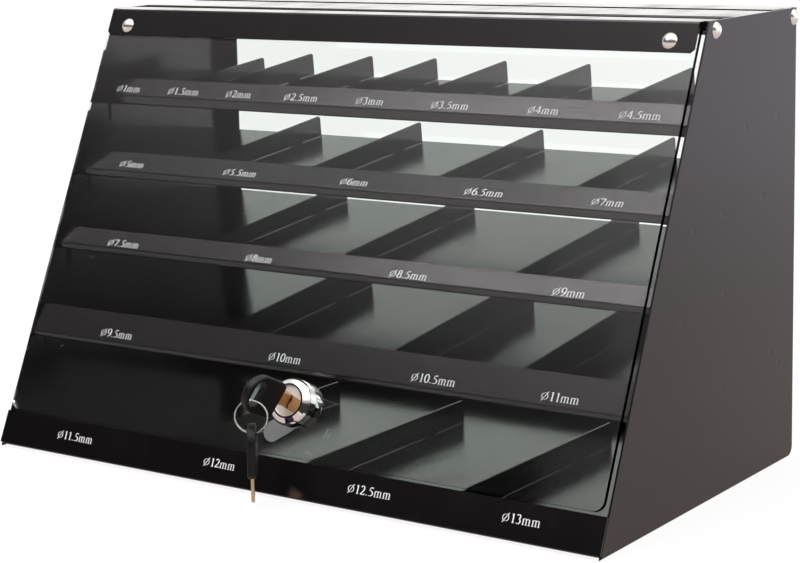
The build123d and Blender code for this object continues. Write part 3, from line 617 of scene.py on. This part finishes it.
# ---------------------------------------------------------------- studio
def studio_world():
    """A light tent: white wall behind and beside the object, a roof, and little light from in front."""
    world = bpy.data.worlds.new("studio")
    bpy.context.scene.world = world
    paint = Paint(world)
    way = paint.node("ShaderNodeTexCoord", output="Generated")
    up = paint.axis("Z", way)
    behind = paint.axis("Y", way).step_up(*WALL_BAND)
    right = paint.axis("X", way).step_up(*ROOF_RIGHT_BAND)
    wall = behind * (WALL_LIGHT - WALL_DIM * up.step_up(*WALL_DIM_BAND))
    roof = (up.step_up(*ROOF_EDGE_BAND) * ROOF_EDGE_LIGHT
            + up.step_up(*ROOF_BAND) * (ROOF_LIGHT + ROOF_RIGHT_LIGHT * right))
    level = wall.math("MAXIMUM", roof) + FILL_LIGHT
    tint = paint.mix(behind, FRONT_TINT, paint.mix(up.step_up(*WALL_TINT_BAND), *WALL_TINTS))
    camera_ray = paint.ray("Camera")
    strength = camera_ray + (1 - camera_ray) * level
    colour = paint.mix(camera_ray, tint, grey(1))
    paint.surface(paint.node("ShaderNodeBackground", {}, {"Color": colour, "Strength": strength}))


def floor():
    """A pale floor that reads as white and keeps the object's shadow; in reflections it shows painted shade
    near the object.
    """
    paint = new_paint("pale_floor")
    light, lighter = FLOOR_TONES
    tone = paint.mix(paint.noise(FLOOR_FLECK), grey(light), grey(lighter))
    plain = paint.node("ShaderNodeBsdfDiffuse", {}, {"Color": tone})
    away = paint.vector("LENGTH", paint.place(), output="Value")
    # painted shade in reflections: darker and warmer near the object, where its shadow would fall on the floor
    painted_reflected_shade = paint.mix(away.step_up(*FLOOR_REFLECTED_SHADE_BAND), *FLOOR_REFLECTED_SHADE_TONES)
    glossy, through = paint.ray("Glossy"), paint.ray("Transmission")
    colour = paint.mix(glossy * (1 - through), grey(1), painted_reflected_shade)
    glow = paint.node("ShaderNodeEmission", {}, {"Color": colour, "Strength": FLOOR_GLOW})
    share = (paint.ray("Camera") + glossy + through).math("MINIMUM", 1.0) * FLOOR_GLOW_SHARE
    material = paint.surface(paint.blend(share, plain, glow))
    corners = [(x * FLOOR_REACH, y * FLOOR_REACH, 0) for x, y in ((-1, -1), (1, -1), (1, 1), (-1, 1))]
    mesh = bpy.data.meshes.new("floor")
    mesh.from_pydata(corners, [], [(0, 1, 2, 3)])
    mesh.materials.append(material)
    ground = bpy.data.objects.new("floor", mesh)
    bpy.context.scene.collection.objects.link(ground)


def softbox(name, place, size, power):
    lamp = bpy.data.lights.new(name, "AREA")
    lamp.shape = "RECTANGLE"
    lamp.size, lamp.size_y = size
    lamp.energy = power
    holder = bpy.data.objects.new(name, lamp)
    bpy.context.scene.collection.objects.link(holder)
    holder.location = place
    holder.rotation_euler = (Vector(SOFTBOX_AIM) - Vector(place)).to_track_quat("-Z", "Y").to_euler()


def camera():
    eye = bpy.data.cameras.new("camera")
    eye.lens = CAMERA_LENS
    eye.sensor_width = CAMERA_SENSOR
    eye.shift_x, eye.shift_y = CAMERA_SHIFT
    eye.clip_end = CAMERA_REACH
    holder = bpy.data.objects.new("camera", eye)
    bpy.context.scene.collection.objects.link(holder)
    turn = Matrix.Rotation(CAMERA_TURN, 4, "Z")
    tilt = Matrix.Rotation(math.pi / 2 - CAMERA_DIP, 4, "X")
    roll = Matrix.Rotation(CAMERA_ROLL, 4, "Z")
    holder.matrix_world = Matrix.Translation(CAMERA_PLACE) @ turn @ tilt @ roll
    bpy.context.scene.camera = holder


# ---------------------------------------------------------------- making it
def coat(names, material):
    for name in names:
        held = frame["nodes"][name].data.materials
        held.clear()
        held.append(material)


def smooth_round_faces(names):
    for name in names:
        mesh = frame["nodes"][name].data
        for polygon in mesh.polygons:
            polygon.use_smooth = True
        mesh.set_sharp_from_angle(angle=SHARP_EDGE)


lock_centre = Vector(JOINTS["lock_turn"]["pos_m"])
nodes = sorted(frame["nodes"])
black = powder_coat("black_powder_coat")
sheet_steel = [n for n in nodes if n.startswith(("shelf", "divider"))]
sheet_steel += ["top_crossbar", "front_flap_rail", "rear_flap_rail"]
coat(sheet_steel, black)
coat(["left_side_panel", "right_side_panel"], powder_coat("black_powder_coat_welded", weld_marks))
coat(["front_clear_panel", "rear_clear_panel"], clear_sheet())
coat([n for n in nodes if n.endswith(("rivets", "pins"))], metal("bright_rivet"))
coat(["lock_plug"], plug_face(lock_centre))
coat(["lock_body"], turned_chrome(lock_centre))
coat(["lock_nut"], metal("nut_plate"))
coat(["lock_cam", "cam_screw"], metal("cam_zinc"))
coat(["key_1_bow", "key_2_bow"], moulded_plastic())
coat(["key_1_blade", "key_2_blade"], metal("key_brass"))
smooth_round_faces(nodes)
print_labels(print_ink())
split_ring(metal("ring_nickel"))

bpy.context.scene.view_settings.view_transform = "Standard"
floor()
studio_world()
for name, (place, size, power) in SOFTBOXES.items():
    softbox(name, place, size, power)
camera()
